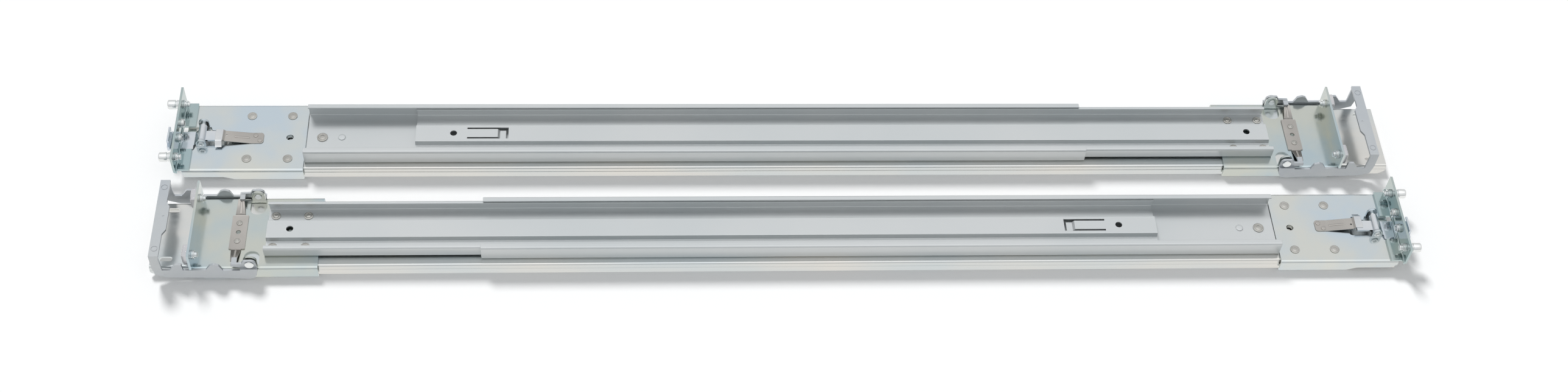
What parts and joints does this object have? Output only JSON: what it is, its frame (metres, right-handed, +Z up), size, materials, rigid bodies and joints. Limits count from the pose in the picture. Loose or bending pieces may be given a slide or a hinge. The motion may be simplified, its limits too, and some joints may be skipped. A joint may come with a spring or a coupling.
{
  "type": "sliding server rail pair",
  "caption": "Pair of sliding steel rails for a rack server, with pegged front flanges and gated, depth-adjustable rear brackets.",
  "frame": {"origin": "centre of the bounding box in plan, at the lowest face of the rails as they lie", "axes": "+X along the rails, rearwards on the right-hand rail; +Y across, from the left-hand rail to the right-hand one; +Z up, out of the outboard faces"},
  "size_m": [0.818, 0.139, 0.0257],
  "materials": {
    "zinc_plated_rail": "bright zinc plate with a faint blue and yellow cast",
    "zinc_plated_bracket": "bright zinc plate, close to a mirror",
    "grey_coated_channel": "smooth matt light grey",
    "gate_steel": "satin pale blue grey",
    "bright_hook_steel": "bright plated",
    "stainless_spring": "satin stainless strip",
    "stainless_rivet": "satin, with a coined ring",
    "bright_turned_steel": "bright turned and plated",
    "bearing_steel": "polished",
    "ball_cage_steel": "satin strip"
  },
  "bodies": {
    "right_middle_slide": {"right_middle_member": "zinc_plated_rail"},
    "right_inner_slide": {"right_inner_member": "zinc_plated_rail"},
    "right_outer_cage_slide": {"right_outer_ball_cage": "ball_cage_steel", "right_outer_balls": "bearing_steel"},
    "right_inner_cage_slide": {"right_inner_ball_cage": "ball_cage_steel", "right_inner_balls": "bearing_steel"},
    "right_release": {"right_release_lever": "gate_steel"},
    "right_hook": {"right_hook_lever": "bright_hook_steel"},
    "right_extension": {"right_extension_channel": "grey_coated_channel", "right_extension_rivets": "stainless_rivet", "right_rear_bracket": "zinc_plated_bracket", "right_square_blocks": "bright_turned_steel", "right_block_screws": "bright_turned_steel", "right_gate_pins": "bright_turned_steel", "right_gate_spring": "stainless_spring", "right_gate_spring_rivets": "stainless_rivet"},
    "right_gate": {"right_gate_lever": "gate_steel"},
    "left_middle_slide": {"left_middle_member": "zinc_plated_rail"},
    "left_inner_slide": {"left_inner_member": "zinc_plated_rail"},
    "left_outer_cage_slide": {"left_outer_ball_cage": "ball_cage_steel", "left_outer_balls": "bearing_steel"},
    "left_inner_cage_slide": {"left_inner_ball_cage": "ball_cage_steel", "left_inner_balls": "bearing_steel"},
    "left_release": {"left_release_lever": "gate_steel"},
    "left_hook": {"left_hook_lever": "bright_hook_steel"},
    "left_extension": {"left_extension_channel": "grey_coated_channel", "left_extension_rivets": "stainless_rivet", "left_rear_bracket": "zinc_plated_bracket", "left_square_blocks": "bright_turned_steel", "left_block_screws": "bright_turned_steel", "left_gate_pins": "bright_turned_steel", "left_gate_spring": "stainless_spring", "left_gate_spring_rivets": "stainless_rivet"},
    "left_gate": {"left_gate_lever": "gate_steel"},
    "rails_fixed": {"right_front_angle": "zinc_plated_bracket", "right_front_bracket": "zinc_plated_bracket", "right_front_bracket_rivets": "stainless_rivet", "right_guide_channel": "grey_coated_channel", "right_guide_channel_rivet": "stainless_rivet", "right_hook_pin": "bright_turned_steel", "right_hook_spring": "stainless_spring", "right_hook_spring_rivets": "stainless_rivet", "right_mounting_pegs": "bright_turned_steel", "right_outer_member": "zinc_plated_rail", "right_threaded_inserts": "bright_turned_steel", "left_front_angle": "zinc_plated_bracket", "left_front_bracket": "zinc_plated_bracket", "left_front_bracket_rivets": "stainless_rivet", "left_guide_channel": "grey_coated_channel", "left_guide_channel_rivet": "stainless_rivet", "left_hook_pin": "bright_turned_steel", "left_hook_spring": "stainless_spring", "left_hook_spring_rivets": "stainless_rivet", "left_mounting_pegs": "bright_turned_steel", "left_outer_member": "zinc_plated_rail", "left_threaded_inserts": "bright_turned_steel"}
  },
  "joints": [
    {"name": "right_middle_slide_out", "type": "slide", "parent": "rails_fixed", "child": "right_middle_slide", "axis": [-1, 0, 0], "range_m": [0, 0.36]},
    {"name": "right_inner_slide_out", "type": "slide", "parent": "right_middle_slide", "child": "right_inner_slide", "axis": [-1, 0, 0], "range_m": [0, 0.36]},
    {"name": "right_outer_cage_roll", "type": "slide", "parent": "rails_fixed", "child": "right_outer_cage_slide", "axis": [-1, 0, 0], "range_m": [0, 0.18]},
    {"name": "right_inner_cage_roll", "type": "slide", "parent": "right_middle_slide", "child": "right_inner_cage_slide", "axis": [-1, 0, 0], "range_m": [0, 0.18]},
    {"name": "right_depth_adjust", "type": "slide", "parent": "rails_fixed", "child": "right_extension", "axis": [1, 0, 0], "range_m": [-0.04, 0.03]},
    {"name": "right_gate_swing", "type": "hinge", "parent": "right_extension", "child": "right_gate", "pos_m": [0.33485, 0.03923, 0.0145], "axis": [0, 1, 0], "range_deg": [0, 10], "stiffness_Nm_per_rad": 0.6, "springref_deg": -10, "deforming": ["right_gate_spring"]},
    {"name": "right_hook_swing", "type": "hinge", "parent": "rails_fixed", "child": "right_hook", "pos_m": [-0.38466, 0.03923, 0.0131], "axis": [0, -1, 0], "range_deg": [0, 5], "stiffness_Nm_per_rad": 0.4, "springref_deg": -10, "deforming": ["right_hook_spring"]},
    {"name": "right_release_swing", "type": "hinge", "parent": "right_inner_slide", "child": "right_release", "pos_m": [-0.31445, 0.03422, 0.0021], "axis": [0, 0, 1], "range_deg": [0, 6]},
    {"name": "left_middle_slide_out", "type": "slide", "parent": "rails_fixed", "child": "left_middle_slide", "axis": [1, 0, 0], "range_m": [0, 0.36]},
    {"name": "left_inner_slide_out", "type": "slide", "parent": "left_middle_slide", "child": "left_inner_slide", "axis": [1, 0, 0], "range_m": [0, 0.36]},
    {"name": "left_outer_cage_roll", "type": "slide", "parent": "rails_fixed", "child": "left_outer_cage_slide", "axis": [1, 0, 0], "range_m": [0, 0.18]},
    {"name": "left_inner_cage_roll", "type": "slide", "parent": "left_middle_slide", "child": "left_inner_cage_slide", "axis": [1, 0, 0], "range_m": [0, 0.18]},
    {"name": "left_depth_adjust", "type": "slide", "parent": "rails_fixed", "child": "left_extension", "axis": [-1, 0, 0], "range_m": [-0.0477, 0.0223]},
    {"name": "left_gate_swing", "type": "hinge", "parent": "left_extension", "child": "left_gate", "pos_m": [-0.34258, -0.03923, 0.0145], "axis": [0, -1, 0], "range_deg": [0, 10], "stiffness_Nm_per_rad": 0.6, "springref_deg": -10, "deforming": ["left_gate_spring"]},
    {"name": "left_hook_swing", "type": "hinge", "parent": "rails_fixed", "child": "left_hook", "pos_m": [0.38466, -0.03923, 0.0131], "axis": [0, 1, 0], "range_deg": [0, 5], "stiffness_Nm_per_rad": 0.4, "springref_deg": -10, "deforming": ["left_hook_spring"]},
    {"name": "left_release_swing", "type": "hinge", "parent": "left_inner_slide", "child": "left_release", "pos_m": [0.31445, -0.04423, 0.0021], "axis": [0, 0, -1], "range_deg": [0, 6]}
  ],
  "couplings": [
    {"joint": "right_outer_cage_roll", "follows": "right_middle_slide_out", "ratio": 0.5},
    {"joint": "right_inner_cage_roll", "follows": "right_inner_slide_out", "ratio": 0.5},
    {"joint": "left_outer_cage_roll", "follows": "left_middle_slide_out", "ratio": 0.5},
    {"joint": "left_inner_cage_roll", "follows": "left_inner_slide_out", "ratio": 0.5}
  ]
}
